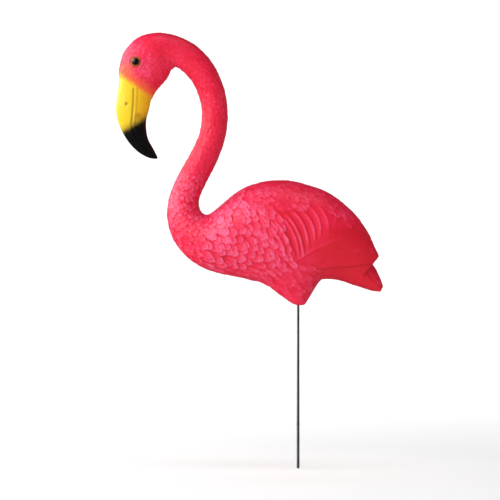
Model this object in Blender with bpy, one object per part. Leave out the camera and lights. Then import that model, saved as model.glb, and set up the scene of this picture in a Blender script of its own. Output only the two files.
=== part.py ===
"""Flamingo garden stake: a moulded plastic flamingo on a steel wire that is pushed into the ground.

The origin is the lower end of the wire, +Z is up and the bird faces -X. Sizes are in metres.
"""

import math

import bpy
import numpy as np

# Driving sizes
BIRD_HEIGHT = 0.240
STAKE_BELOW_BIRD = 0.1435
STAKE_DIAMETER = 0.0025
STAKE_SIDES = 24
STAKE_END_CHAMFER = 0.0003
SOCKET_DEPTH = 0.028
SOCKET_CLEARANCE = 0.0003
SKIN_TRIANGLES = 9300

# Everything of the bird's own form below is in shares: hundredths of its height.
SHARE = BIRD_HEIGHT / 100

# The bird's ribs, from the tip of its bill to its tail, seen from its side. Each row holds where a rib
# meets the outline on the crown's and back's side (x, z), where it meets it on the throat's and belly's
# side (x, z), and half its breadth. x runs from the wire towards the tail, z up from the boss's foot.
BILL_RIBS = [
    (-52.2, 53.4, -51.2, 54.0, 0.5),
    (-54.5, 53.7, -52.0, 55.9, 1.0),
    (-57.9, 55.4, -53.3, 58.2, 1.7),
    (-61.3, 58.4, -54.7, 60.9, 2.3),
    (-64.2, 62.6, -55.4, 64.2, 2.9),
    (-66.3, 67.6, -55.4, 68.0, 3.4),
    (-67.0, 72.7, -54.4, 71.8, 3.8),
    (-66.4, 77.4, -53.4, 75.9, 4.2),
]
HEAD_RIBS = [
    (-65.8, 82.2, -51.0, 79.5, 4.9),
    (-65.5, 87.8, -48.0, 82.9, 5.8),
    (-63.2, 93.9, -46.6, 85.8, 6.2),
    (-58.8, 98.2, -45.7, 86.7, 5.9),
    (-52.2, 100.0, -44.7, 87.2, 5.4),
]
NECK_RIBS = [
    (-44.9, 99.0, -43.2, 86.4, 5.0),
    (-37.6, 95.4, -41.2, 84.6, 4.8),
    (-31.9, 89.6, -39.0, 82.0, 4.8),
    (-27.7, 81.5, -37.0, 78.0, 4.7),
    (-25.8, 72.3, -35.4, 71.6, 4.6),
    (-26.5, 62.0, -36.1, 63.5, 4.7),
    (-29.9, 52.2, -39.6, 55.6, 4.9),
    (-34.3, 43.8, -44.2, 47.2, 5.2),
    (-36.5, 38.1, -47.3, 39.0, 5.6),
]
BREAST_RIBS = [
    (-36.0, 34.8, -47.9, 32.3, 6.3),
    (-34.3, 33.2, -46.2, 25.2, 7.5),
    (-32.1, 33.4, -42.5, 19.5, 8.9),
    (-28.8, 35.9, -36.6, 14.7, 10.4),
]
BACK_RIBS = [
    (-24.5, 39.6, -29.3, 11.9, 11.8),
    (-18.6, 43.4, -21.5, 10.3, 12.9),
    (-11.4, 45.5, -13.5, 8.5, 13.5),
    (-3.3, 45.7, -5.2, 7.3, 13.6),
    (4.9, 43.9, 2.9, 8.1, 13.1),
    (12.6, 40.0, 9.1, 9.5, 12.1),
    (19.4, 34.9, 13.5, 9.4, 10.7),
    (24.5, 28.9, 16.6, 8.7, 9.3),
    (28.0, 22.4, 18.8, 7.9, 8.0),
    (29.5, 18.0, 20.6, 7.3, 6.8),
]
TAIL_RIBS = [
    (27.3, 16.6, 21.7, 7.0, 5.9),
    (28.8, 12.9, 25.0, 5.9, 4.8),
    (30.4, 9.4, 27.7, 5.1, 3.8),
    (31.2, 7.0, 30.2, 4.9, 2.3),
]
# How far each group of ribs is fuller on its upper side (above 0) or on its lower side (below 0).
FULLNESS = [
    (BILL_RIBS, 0.0),
    (HEAD_RIBS, 0.12),
    (NECK_RIBS, 0.0),
    (BREAST_RIBS, 0.05),
    (BACK_RIBS, 0.14),
    (TAIL_RIBS, -0.10),
]

# The skin's grid, before it is thinned
RING_STEP = 0.42
HALF_COLUMNS = 64

# The boss under the belly, whose flat foot takes the wire
FOOT_CENTRE = 0.5
FOOT_RADIUS = 2.0
BOSS_SLOPE_FRONT = 0.76
BOSS_SLOPE_REAR = 1.75
BOSS_SLOPE_SIDE = 1.9
BOSS_FILLET = 1.6
BOSS_REACH = 30
FOOT_ROUNDING = 0.9
FOOT_FLATNESS = 0.12
# Where the belly's blend with the boss starts and is whole, from 0 at the back to 1 at the belly
UNDERSIDE_FROM = 0.60
UNDERSIDE_FULL = 0.76
# How far above the foot the feathers start and reach their whole height
FEATHERS_FROM = 0.5
FEATHERS_FULL = 4.0

# The eye, the nostril and the line between the two halves of the bill. The socket is a groove round the
# eye, and its place and width are in eye radii.
EYE = (-59.4, 89.0)
EYE_RADIUS = 1.75
EYE_HEIGHT = 0.55
EYE_SOCKET_DEPTH = 0.28
EYE_SOCKET_PLACE = 1.25
EYE_SOCKET_WIDTH = 0.3
NOSTRIL = (-62.8, 73.7)
NOSTRIL_RADIUS = 0.55
NOSTRIL_DEPTH = 0.35
MOUTH_LINE = [(-60.2, 79.1), (-60.3, 73.4), (-61.0, 66.0), (-59.0, 60.0), (-53.6, 55.2)]
MOUTH_WIDTH = 0.35
MOUTH_DEPTH = 0.30

# The folded wing's lower edge, from the shoulder back to the wing's tip
WING_EDGE = [(2.0, 12.4), (10.9, 13.9), (18.5, 14.2), (25.6, 14.9), (27.6, 16.8), (29.5, 18.0)]
WING_THICKNESS = 0.75
WING_FADE = 10.0
WING_STEP_FROM = -0.15
WING_STEP_TO = 0.25

# The valley between the wings
VALLEY_FROM = -6
VALLEY_TO = 28
VALLEY_ABOVE = 17.5
VALLEY_WIDTH = 3.0
VALLEY_DEPTH = 2.4

# Fans of long feathers: how many, where the first and last tips are, and for the first and last feather
# its angle, length and width. Then comes how high the tips stand.
FANS = [
    (3, ((30.6, 7.4), (28.0, 12.8)), (-28, -40), (11, 12), (3.4, 3.6), 0.45),
    (7, ((29.0, 19.4), (14.6, 37.4)), (-50, -26), (8, 8), (3.4, 3.0), 0.55),
]
FAN_FULL = 0.6

# One feather's form, in shares of its own size: how steep its edge is and how much lower its sides are
# than its middle. Then come how far the skin may turn away under it, and how far off it is looked for.
FEATHER_EDGE = 0.30
FEATHER_ROUNDING = 0.4
FEATHER_TURN = 0.25
FEATHER_SEARCH = 1.5

# The curved feathers of the wing, by the edges that show. Four of them are listed from the front to the
# rear: where each starts and ends seen from the side, how far it bows and how high it stands.
SABRES = 8
SABRE_KEYS = [
    (-12.6, 31.0, -3.6, 15.4, 1.9, 0.80),
    (-5.6, 36.0, 2.8, 19.0, 2.6, 0.85),
    (4.6, 38.2, 9.6, 26.4, 1.9, 0.75),
    (16.2, 37.4, 20.0, 30.4, 0.7, 0.60),
]
SABRE_RAMP = 2.8

# The edges of the two layers below them, in the same terms, from the rear forwards
LAYER_EDGES = [
    (22.6, 26.0, -1.6, 15.6, -1.5, 0.55),
    (28.6, 19.6, 13.0, 18.6, -0.6, 0.40),
]
LAYER_RAMP = 3.5

# How an edge drops behind, how hollow its ramp is, and over which shares of its length it fades in and out
EDGE_DROP = 0.3
EDGE_HOLLOW = 1.4
EDGE_FADE_IN = 0.3
EDGE_FADE_OUT = (0.82, 1.05)

# Rows of short round feathers on the breast and the shoulder, as far back as a line that starts at
# SCALES_END on the flank and slants forwards as it rises
SCALE_SEED = 7
FINE_SCALE = 2.8
FULL_SCALE = 4.0
SCALE_SPACING = 0.78
SCALE_LENGTH = 1.7
SCALE_WIDTH = 1.1
SCALE_LIFT = 0.58
SCALE_LIFT_VARIES = 0.25
SCALE_DROOP = 0.45
SCALE_STRAYS_ROUND = 0.15
SCALE_STRAYS_ALONG = 0.25
FINE_AT = -44
FULL_AT = -20
SCALES_UP_TO = 46
SCALES_FADE_FROM = 33
SCALES_END = (-5.0, 15.0)
SCALES_SLANT = 0.34


def through(rows, knots, at):
    """A smooth curve through rows of numbers, read at the places at, where row n is at knots[n]."""
    rows = np.asarray(rows, float)
    gaps = np.diff(knots)[:, None]
    rises = np.diff(rows, axis=0) / gaps
    between = (rises[:-1] * gaps[1:] + rises[1:] * gaps[:-1]) / (gaps[1:] + gaps[:-1])
    slopes = np.vstack([rises[:1], between, rises[-1:]])
    n = np.clip(np.searchsorted(knots, at, side="right") - 1, 0, len(knots) - 2)
    gap = gaps[n]
    f = (at - knots[n])[:, None] / gap
    ends = (1 + 2 * f) * (1 - f) ** 2 * rows[n] + f * f * (3 - 2 * f) * rows[n + 1]
    return ends + gap * (f * (1 - f) ** 2 * slopes[n] + f * f * (f - 1) * slopes[n + 1])


def smooth(low, high, value):
    """0 below low, 1 above high and a smooth ramp between them."""
    f = np.clip((value - low) / (high - low), 0, 1)
    return f * f * (3 - 2 * f)


def half_skin():
    """Points of the bird's right half: a row for each ring along it, a column for each step round it."""
    ribs = np.array([(*rib, fullness) for group, fullness in FULLNESS for rib in group])
    steps = (np.hypot(*np.diff(ribs[:, 0:2], axis=0).T) + np.hypot(*np.diff(ribs[:, 2:4], axis=0).T)) / 2
    knots = np.concatenate([[0], np.cumsum(steps)])
    rings = through(ribs, knots, np.linspace(0, knots[-1], round(knots[-1] / RING_STEP)))
    turn = np.linspace(0, math.pi, HALF_COLUMNS + 1)
    upper, lower = rings[:, None, 0:2], rings[:, None, 2:4]
    breadth, fullness = rings[:, 4:5], rings[:, 5:6]
    along = np.cos(turn)[None, :, None]
    side_view = (upper + lower) / 2 + along * (upper - lower) / 2
    outward = -breadth * np.sin(turn) * (1 + fullness * np.cos(turn))
    return np.stack([side_view[..., 0], outward, side_view[..., 1]], axis=-1)


def normals(points):
    """The outward direction at each point of the half skin."""
    mirror = [1, -1, 1]
    wide = np.concatenate([points[:, 1:2] * mirror, points, points[:, -2:-1] * mirror], axis=1)
    lengthwise = np.gradient(wide, axis=0)
    around = np.gradient(wide, axis=1)
    out = np.cross(around, lengthwise)[:, 1:-1]
    return out / np.maximum(np.linalg.norm(out, axis=-1, keepdims=True), 1e-9)


def with_boss(points):
    """The half skin with its belly drawn down into the boss that the wire enters."""
    x, y, z = np.moveaxis(points, -1, 0)
    behind = x - FOOT_CENTRE
    away = np.hypot(behind, y)
    fore_and_aft = (behind / np.maximum(away, 1e-6)) ** 2
    steep = np.where(behind < 0, BOSS_SLOPE_FRONT, BOSS_SLOPE_REAR)
    slope = BOSS_SLOPE_SIDE + (steep - BOSS_SLOPE_SIDE) * fore_and_aft
    rise = slope * (away - FOOT_RADIUS)
    boss = np.maximum((rise + np.hypot(rise, FOOT_ROUNDING)) / 2 - FOOT_FLATNESS, 0)
    apart = np.clip((z - boss) / BOSS_FILLET, -1, 1)
    blended = np.where(apart < 1, z - BOSS_FILLET * (1 + apart) ** 2 / 4, boss)
    turn = np.linspace(0, 1, points.shape[1])
    under = smooth(UNDERSIDE_FROM, UNDERSIDE_FULL, turn)[None, :] * (np.hypot(x, z) < BOSS_REACH)
    return np.stack([x, y, z + under * (blended - z)], axis=-1)


def line_distance(points, line):
    """How far each point of the side view is from a line of points."""
    nearest = np.full(points.shape[:-1], np.inf)
    for start, end in zip(np.array(line[:-1]), np.array(line[1:])):
        span = end - start
        f = np.clip((points - start) @ span / (span @ span), 0, 1)
        nearest = np.minimum(nearest, np.linalg.norm(points - start - f[..., None] * span, axis=-1))
    return nearest


def face_relief(points):
    """The eyes, nostrils and mouth line, as heights above the skin."""
    side_view = points[..., [0, 2]]
    from_eye = np.linalg.norm(side_view - EYE, axis=-1) / EYE_RADIUS
    dome = EYE_HEIGHT * np.sqrt(np.clip(1 - from_eye**2, 0, 1))
    from_groove = (from_eye - EYE_SOCKET_PLACE) / EYE_SOCKET_WIDTH
    socket = EYE_SOCKET_DEPTH * np.exp(-(from_groove**2))
    from_nostril = np.linalg.norm(side_view - NOSTRIL, axis=-1) / NOSTRIL_RADIUS
    nostril = NOSTRIL_DEPTH * np.exp(-(from_nostril**2))
    mouth = MOUTH_DEPTH * np.exp(-((line_distance(side_view, MOUTH_LINE) / MOUTH_WIDTH) ** 2))
    return dome - socket - nostril - mouth


class Plumage:
    """Feathers laid one over another on the half skin, as heights above it."""

    def __init__(self, points):
        self.points = points
        self.out = normals(points)
        self.heights = np.zeros(points.shape[:2])
        middle = points[:, HALF_COLUMNS // 2]
        walk = np.linalg.norm(np.diff(middle, axis=0), axis=-1)
        self.travel = np.concatenate([[0], np.cumsum(walk)])
        steps = np.linalg.norm(np.diff(points, axis=1), axis=-1)
        self.girth = np.concatenate([np.zeros((len(points), 1)), np.cumsum(steps, axis=1)], axis=1)
        self.flow = np.gradient(points, axis=0)

    def lay(self, ring, column, aim, length, width, lift, full=1.0):
        """One feather, whose round tip is at a ring and a column and points along aim.

        It rises from its root to its whole lift at the share full of its length.
        """
        reach = round(FEATHER_SEARCH * max(length, width) / RING_STEP)
        near = slice(max(ring - reach, 0), ring + reach)
        away = self.points[near] - self.points[ring, column]
        up = self.out[ring, column]
        aim = aim - (aim @ up) * up
        aim = aim / np.linalg.norm(aim)
        ahead = away @ aim
        across = away @ np.cross(up, aim) / (width / 2)
        tip = width / 2
        shape = np.hypot(np.maximum(ahead + tip, 0) / tip, across)
        facing = self.out[near] @ up > FEATHER_TURN
        cover = np.clip((1 - shape) / FEATHER_EDGE, 0, 1) * (ahead > -length) * facing
        rising = np.clip((ahead + length) / (full * length), 0, 1)
        crown = 1 - FEATHER_ROUNDING * np.clip(across, -1, 1) ** 2
        self.heights[near] += cover * (lift * rising * crown - self.heights[near])

    def lay_fan(self, count, tips, aims, lengths, widths, lift):
        """A fan of long feathers, from its rearmost one forwards. Angles are seen from the side."""
        for f in np.linspace(0, 1, count):
            tip = (1 - f) * np.array(tips[0]) + f * np.array(tips[1])
            apart = np.linalg.norm(self.points[..., [0, 2]] - tip, axis=-1)
            ring, column = np.unravel_index(np.argmin(apart), apart.shape)
            angle = math.radians((1 - f) * aims[0] + f * aims[1])
            aim = np.array([math.cos(angle), 0, math.sin(angle)])
            length = (1 - f) * lengths[0] + f * lengths[1]
            width = (1 - f) * widths[0] + f * widths[1]
            self.lay(ring, column, aim, length, width, lift, FAN_FULL)

    def lay_scales(self):
        """Rows of short round feathers, from the flank forwards over the shoulder and the breast."""
        chance = np.random.default_rng(SCALE_SEED)
        middle = self.points[:, HALF_COLUMNS // 2]
        on_body = (middle[:, 2] < SCALES_UP_TO) & (middle[:, 0] < SCALES_END[0])
        place = self.travel[on_body].max()
        row = 0
        while place > self.travel[on_body].min():
            ring = int(np.searchsorted(self.travel, place))
            size = FINE_SCALE + (FULL_SCALE - FINE_SCALE) * smooth(FINE_AT, FULL_AT, middle[ring, 0])
            fading = 1 - smooth(SCALES_FADE_FROM, SCALES_UP_TO, middle[ring, 2])
            girth = self.girth[ring]
            count = max(1, round(girth[-1] / size))
            for k in range(count):
                stray = SCALE_STRAYS_ROUND * chance.normal()
                across = (k + 0.5 * (row % 2) + stray) / count * girth[-1]
                column = min(int(np.searchsorted(girth, max(across, 0))), HALF_COLUMNS)
                at = ring + round(SCALE_STRAYS_ALONG * chance.normal() * size / RING_STEP)
                flow = self.flow[at, column] / np.linalg.norm(self.flow[at, column])
                aim = flow - [0, 0, SCALE_DROOP * math.sin(math.pi * k / count)]
                lift = SCALE_LIFT * (1 + SCALE_LIFT_VARIES * chance.uniform(-1, 1)) * fading
                x, _, z = self.points[at, column]
                if x < SCALES_END[0] - SCALES_SLANT * (z - SCALES_END[1]):
                    self.lay(at, column, aim, SCALE_LENGTH * size, SCALE_WIDTH * size, lift)
            place -= SCALE_SPACING * size
            row += 1


def edge_relief(points, edges, ramp):
    """Steps down behind the edges of feathers, as heights above the skin."""
    side_view = points[..., [0, 2]]
    raised = np.zeros(points.shape[:2])
    for x_start, z_start, x_end, z_end, bow, lift in edges:
        start = np.array([x_start, z_start])
        chord = np.array([x_end, z_end]) - start
        length = np.linalg.norm(chord)
        forward = chord / length
        away = side_view - start
        share = away @ forward / length
        behind = away @ np.array([-forward[1], forward[0]]) - 4 * bow * share * (1 - share)
        fading = smooth(0, EDGE_FADE_IN, share) * (1 - smooth(*EDGE_FADE_OUT, share))
        before = np.clip(1 + behind / ramp, 0, 1) ** EDGE_HOLLOW
        tooth = np.where(behind < 0, before, np.exp(-((behind / EDGE_DROP) ** 2)))
        raised = np.maximum(raised, lift * fading * tooth)
    return raised


def wing_feathers(points):
    """The curved feathers of the wing and the layers below them, as heights above the skin."""
    keys = np.linspace(0, 1, len(SABRE_KEYS))
    places = np.linspace(0, 1, SABRES)
    edges = np.stack([np.interp(places, keys, column) for column in np.array(SABRE_KEYS).T], axis=-1)
    return edge_relief(points, edges, SABRE_RAMP) + edge_relief(points, LAYER_EDGES, LAYER_RAMP)


def wing_relief(points):
    """The step from the folded wing down to the flank and the tail."""
    side_view = points[..., [0, 2]]
    edge = np.array(WING_EDGE)
    above = side_view[..., 1] - np.interp(side_view[..., 0], edge[:, 0], edge[:, 1])
    fade = smooth(edge[0, 0], edge[0, 0] + WING_FADE, side_view[..., 0])
    return WING_THICKNESS * fade * smooth(WING_STEP_FROM, WING_STEP_TO, above)


def between_wings(points):
    """The valley along the back between the folded wings, which opens into a notch between their tips."""
    x, y, z = np.moveaxis(points, -1, 0)
    behind = smooth(VALLEY_FROM, VALLEY_TO, x) * (z > VALLEY_ABOVE)
    width = VALLEY_WIDTH * (0.5 + 0.5 * behind)
    return VALLEY_DEPTH * behind * np.exp(-((y / width) ** 2))


def bird_points():
    """The whole form of the bird's right half, with its relief, in shares."""
    points = half_skin()
    raised = wing_relief(points) - between_wings(points)
    points = points + raised[..., None] * normals(points)
    points = with_boss(points)
    plumage = Plumage(points)
    for fan in FANS:
        plumage.lay_fan(*fan)
    plumage.lay_scales()
    clear_of_foot = smooth(FEATHERS_FROM, FEATHERS_FULL, points[..., 2])
    heights = (plumage.heights + wing_feathers(points)) * clear_of_foot + face_relief(points)
    return points + heights[..., None] * plumage.out


def bird_mesh():
    """A closed mesh of the bird from its right half, the left one being its mirror."""
    half = bird_points() * SHARE
    half[..., 2] += STAKE_BELOW_BIRD
    half[:, [0, -1], 1] = 0
    left = half[:, -2:0:-1] * [1, -1, 1]
    rings = np.concatenate([half, left], axis=1)
    count, columns = rings.shape[:2]
    bill_end, tail_end = rings[0].mean(axis=0), rings[-1].mean(axis=0)
    vertices = [*rings.reshape(-1, 3), bill_end, tail_end]
    index = np.arange(count * columns).reshape(count, columns)
    following = np.roll(index, -1, axis=1)
    quads = np.stack([index[:-1], following[:-1], following[1:], index[1:]], axis=-1)
    faces = quads.reshape(-1, 4).tolist()
    bill_point, tail_point = count * columns, count * columns + 1
    faces += [(bill_point, b, a) for a, b in zip(index[0], following[0])]
    faces += [(tail_point, a, b) for a, b in zip(index[-1], following[-1])]
    mesh = bpy.data.meshes.new("flamingo")
    mesh.from_pydata([tuple(v) for v in vertices], [], [tuple(int(n) for n in f) for f in faces])
    return mesh


def material(name, colour, roughness, metallic):
    made = bpy.data.materials.new(name)
    made.use_nodes = True
    shader = made.node_tree.nodes["Principled BSDF"]
    shader.inputs["Base Color"].default_value = (*colour, 1)
    shader.inputs["Roughness"].default_value = roughness
    shader.inputs["Metallic"].default_value = metallic
    return made


def add_object(mesh, finish):
    made = bpy.data.objects.new(mesh.name, mesh)
    bpy.context.scene.collection.objects.link(made)
    made.data.materials.append(finish)
    return made


def turned_mesh(name, outline, sides):
    """A closed solid turned about Z from its outline of (radius, z), listed from the bottom up."""
    angles = np.arange(sides) * 2 * math.pi / sides
    ring = np.stack([np.cos(angles), np.sin(angles)], axis=-1)
    vertices = [(r * c, r * s, z) for r, z in outline for c, s in ring]
    faces = []
    for level in range(len(outline) - 1):
        low, high = level * sides, (level + 1) * sides
        faces += [(low + n, low + (n + 1) % sides, high + (n + 1) % sides, high + n) for n in range(sides)]
    faces.append(tuple(range(sides))[::-1])
    faces.append(tuple(range((len(outline) - 1) * sides, len(outline) * sides)))
    mesh = bpy.data.meshes.new(name)
    mesh.from_pydata(vertices, [], faces)
    return mesh


def build_stake():
    """The steel wire, from the ground up into the bird's socket."""
    radius = STAKE_DIAMETER / 2
    top = STAKE_BELOW_BIRD + SOCKET_DEPTH - SOCKET_CLEARANCE
    chamfer = STAKE_END_CHAMFER
    outline = [(radius - chamfer, 0), (radius, chamfer), (radius, top - chamfer), (radius - chamfer, top)]
    wire = turned_mesh("stake", outline, STAKE_SIDES)
    return add_object(wire, material("steel_wire", (0.42, 0.42, 0.40), 0.35, 1.0))


def build_flamingo():
    """The moulded bird, thinned to few triangles, with the socket bored up through its foot."""
    bird = add_object(bird_mesh(), material("pink_plastic", (0.84, 0.06, 0.16), 0.42, 0.0))
    thin = bird.modifiers.new("thin", "DECIMATE")
    whole = sum(len(face.vertices) - 2 for face in bird.data.polygons)
    thin.ratio = SKIN_TRIANGLES / whole
    thin.use_symmetry = True
    thin.symmetry_axis = "Y"
    bore_radius = STAKE_DIAMETER / 2 + SOCKET_CLEARANCE
    bore = [(bore_radius, STAKE_BELOW_BIRD - SOCKET_DEPTH), (bore_radius, STAKE_BELOW_BIRD + SOCKET_DEPTH)]
    cutter = add_object(turned_mesh("socket_cutter", bore, STAKE_SIDES), bird.data.materials[0])
    cutter.hide_render = True
    cutter.display_type = "WIRE"
    socket = bird.modifiers.new("socket", "BOOLEAN")
    socket.operation = "DIFFERENCE"
    socket.solver = "EXACT"
    socket.object = cutter
    bird.data.shade_smooth()
    return bird


def main():
    for old in list(bpy.data.objects):
        bpy.data.objects.remove(old)
    build_stake()
    build_flamingo()


main()
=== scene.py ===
"""The looks of a flamingo garden stake: a moulded, sprayed plastic bird on a steel wire. Metres, +Z up."""

import math

import bpy
import numpy as np
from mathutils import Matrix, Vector


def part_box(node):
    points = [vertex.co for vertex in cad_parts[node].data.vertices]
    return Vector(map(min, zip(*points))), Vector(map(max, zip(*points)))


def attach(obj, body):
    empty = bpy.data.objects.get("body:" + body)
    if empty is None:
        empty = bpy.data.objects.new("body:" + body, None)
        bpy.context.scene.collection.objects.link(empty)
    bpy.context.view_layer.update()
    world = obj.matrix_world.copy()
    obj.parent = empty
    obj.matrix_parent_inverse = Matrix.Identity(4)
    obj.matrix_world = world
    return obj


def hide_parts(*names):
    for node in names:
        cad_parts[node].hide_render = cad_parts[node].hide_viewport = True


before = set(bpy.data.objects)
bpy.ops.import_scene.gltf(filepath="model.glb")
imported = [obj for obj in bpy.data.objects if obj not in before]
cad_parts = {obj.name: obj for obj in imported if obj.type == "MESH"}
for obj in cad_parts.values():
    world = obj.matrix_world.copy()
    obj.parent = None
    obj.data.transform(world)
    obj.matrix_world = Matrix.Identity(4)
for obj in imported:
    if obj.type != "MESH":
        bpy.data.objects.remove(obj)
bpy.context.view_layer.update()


# The bird. One hollow plastic moulding with the eyes, the bill, the feathers and the boss for the wire all in
# its skin. It is moulded in pink, and its bill and eyes are then sprayed and brushed by hand.

# Its own form is in shares, hundredths of its height, with z up from the foot that the wire enters and x from
# the wire towards the tail.
bird_low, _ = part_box("flamingo")
BIRD_HEIGHT = 0.240
SHARE = BIRD_HEIGHT / 100
FOOT_HEIGHT = bird_low[2]
SHOWS_RIGHT_SIDE = -1

# Its ribs from the bill's tip to the tail: where each meets the outline on the crown's and back's side
# (x, z), where on the throat's and belly's side (x, z), and half its breadth.
BILL_RIBS = [
    (-52.2, 53.4, -51.2, 54.0, 0.5),
    (-54.5, 53.7, -52.0, 55.9, 1.0),
    (-57.9, 55.4, -53.3, 58.2, 1.7),
    (-61.3, 58.4, -54.7, 60.9, 2.3),
    (-64.2, 62.6, -55.4, 64.2, 2.9),
    (-66.3, 67.6, -55.4, 68.0, 3.4),
    (-67.0, 72.7, -54.4, 71.8, 3.8),
    (-66.4, 77.4, -53.4, 75.9, 4.2),
]
HEAD_RIBS = [
    (-65.8, 82.2, -51.0, 79.5, 4.9),
    (-65.5, 87.8, -48.0, 82.9, 5.8),
    (-63.2, 93.9, -46.6, 85.8, 6.2),
    (-58.8, 98.2, -45.7, 86.7, 5.9),
    (-52.2, 100.0, -44.7, 87.2, 5.4),
]
NECK_RIBS = [
    (-44.9, 99.0, -43.2, 86.4, 5.0),
    (-37.6, 95.4, -41.2, 84.6, 4.8),
    (-31.9, 89.6, -39.0, 82.0, 4.8),
    (-27.7, 81.5, -37.0, 78.0, 4.7),
    (-25.8, 72.3, -35.4, 71.6, 4.6),
    (-26.5, 62.0, -36.1, 63.5, 4.7),
    (-29.9, 52.2, -39.6, 55.6, 4.9),
    (-34.3, 43.8, -44.2, 47.2, 5.2),
    (-36.5, 38.1, -47.3, 39.0, 5.6),
]
BREAST_RIBS = [
    (-36.0, 34.8, -47.9, 32.3, 6.3),
    (-34.3, 33.2, -46.2, 25.2, 7.5),
    (-32.1, 33.4, -42.5, 19.5, 8.9),
    (-28.8, 35.9, -36.6, 14.7, 10.4),
]
BACK_RIBS = [
    (-24.5, 39.6, -29.3, 11.9, 11.8),
    (-18.6, 43.4, -21.5, 10.3, 12.9),
    (-11.4, 45.5, -13.5, 8.5, 13.5),
    (-3.3, 45.7, -5.2, 7.3, 13.6),
    (4.9, 43.9, 2.9, 8.1, 13.1),
    (12.6, 40.0, 9.1, 9.5, 12.1),
    (19.4, 34.9, 13.5, 9.4, 10.7),
    (24.5, 28.9, 16.6, 8.7, 9.3),
    (28.0, 22.4, 18.8, 7.9, 8.0),
    (29.5, 18.0, 20.6, 7.3, 6.8),
]
TAIL_RIBS = [
    (27.3, 16.6, 21.7, 7.0, 5.9),
    (28.8, 12.9, 25.0, 5.9, 4.8),
    (30.4, 9.4, 27.7, 5.1, 3.8),
    (31.2, 7.0, 30.2, 4.9, 2.3),
]
# How far each group of ribs is fuller on its upper side (above 0) or on its lower side (below 0), and how far
# apart the rings of its skin are
RIB_GROUPS = [
    (BILL_RIBS, 0.0, 0.56),
    (HEAD_RIBS, 0.12, 0.38),
    (NECK_RIBS, 0.0, 0.40),
    (BREAST_RIBS, 0.05, 0.36),
    (BACK_RIBS, 0.14, 0.30),
    (TAIL_RIBS, -0.10, 0.42),
]
RINGS = 470
HALF_COLUMNS = 105


def through(rows, knots, at):
    """A smooth curve through rows of numbers, read at the places at, where row n is at knots[n]."""
    gaps = np.diff(knots)[:, None]
    rises = np.diff(rows, axis=0) / gaps
    between = (rises[:-1] * gaps[1:] + rises[1:] * gaps[:-1]) / (gaps[1:] + gaps[:-1])
    slopes = np.vstack([rises[:1], between, rises[-1:]])
    n = np.clip(np.searchsorted(knots, at, side="right") - 1, 0, len(knots) - 2)
    gap = gaps[n]
    f = (at - knots[n])[:, None] / gap
    ends = (1 + 2 * f) * (1 - f) ** 2 * rows[n] + f * f * (3 - 2 * f) * rows[n + 1]
    return ends + gap * (f * (1 - f) ** 2 * slopes[n] + f * f * (f - 1) * slopes[n + 1])


def smooth(low, high, value):
    """0 below low, 1 above high and a smooth ramp between them."""
    f = np.clip((value - low) / (high - low), 0, 1)
    return f * f * (3 - 2 * f)


def half_skin():
    """Points of the bird's right half: a row for each ring along it, a column for each step round it."""
    ribs = np.array([(*rib, fullness, step) for group, fullness, step in RIB_GROUPS for rib in group])
    steps = (np.hypot(*np.diff(ribs[:, 0:2], axis=0).T) + np.hypot(*np.diff(ribs[:, 2:4], axis=0).T)) / 2
    knots = np.concatenate([[0], np.cumsum(steps)])
    counted = np.concatenate([[0], np.cumsum(2 * steps / (ribs[1:, 6] + ribs[:-1, 6]))])
    at = np.interp(np.linspace(0, counted[-1], RINGS), counted, knots)
    rings = through(ribs, knots, at)
    turn = np.linspace(0, math.pi, HALF_COLUMNS + 1)
    upper, lower = rings[:, None, 0:2], rings[:, None, 2:4]
    breadth, fullness = rings[:, 4:5], rings[:, 5:6]
    side_view = (upper + lower) / 2 + np.cos(turn)[None, :, None] * (upper - lower) / 2
    outward = SHOWS_RIGHT_SIDE * breadth * np.sin(turn) * (1 + fullness * np.cos(turn))
    return np.stack([side_view[..., 0], outward, side_view[..., 1]], axis=-1)


def outward_normals(points):
    """The outward direction at each point of the half skin."""
    across = [1, -1, 1]
    wide = np.concatenate([points[:, 1:2] * across, points, points[:, -2:-1] * across], axis=1)
    out = np.cross(np.gradient(wide, axis=1), np.gradient(wide, axis=0))[:, 1:-1]
    return out / np.maximum(np.linalg.norm(out, axis=-1, keepdims=True), 1e-9)


# The boss under the belly, whose flat foot takes the wire
FOOT_CENTRE = 0.5
FOOT_RADIUS = 2.0
BOSS_SLOPE_FRONT = 0.76
BOSS_SLOPE_REAR = 1.75
BOSS_SLOPE_SIDE = 1.9
BOSS_FILLET = 1.6
BOSS_REACH = 30
FOOT_ROUNDING = 0.9
FOOT_FLATNESS = 0.12
# Where the belly's blend with the boss starts and is whole, from 0 at the back to 1 at the belly
UNDERSIDE_FROM = 0.60
UNDERSIDE_FULL = 0.76
# How far above the foot the feathers start and reach their whole height
FEATHERS_FROM = 0.5
FEATHERS_FULL = 4.0


def with_boss(points):
    """The half skin with its belly drawn down into the boss."""
    x, y, z = np.moveaxis(points, -1, 0)
    behind = x - FOOT_CENTRE
    away = np.hypot(behind, y)
    fore_and_aft = (behind / np.maximum(away, 1e-6)) ** 2
    steep = np.where(behind < 0, BOSS_SLOPE_FRONT, BOSS_SLOPE_REAR)
    slope = BOSS_SLOPE_SIDE + (steep - BOSS_SLOPE_SIDE) * fore_and_aft
    rise = slope * (away - FOOT_RADIUS)
    boss = np.maximum((rise + np.hypot(rise, FOOT_ROUNDING)) / 2 - FOOT_FLATNESS, 0)
    apart = np.clip((z - boss) / BOSS_FILLET, -1, 1)
    blended = np.where(apart < 1, z - BOSS_FILLET * (1 + apart) ** 2 / 4, boss)
    turn = np.linspace(0, 1, points.shape[1])
    under = smooth(UNDERSIDE_FROM, UNDERSIDE_FULL, turn)[None, :] * (np.hypot(x, z) < BOSS_REACH)
    return np.stack([x, y, z + under * (blended - z)], axis=-1)


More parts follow.
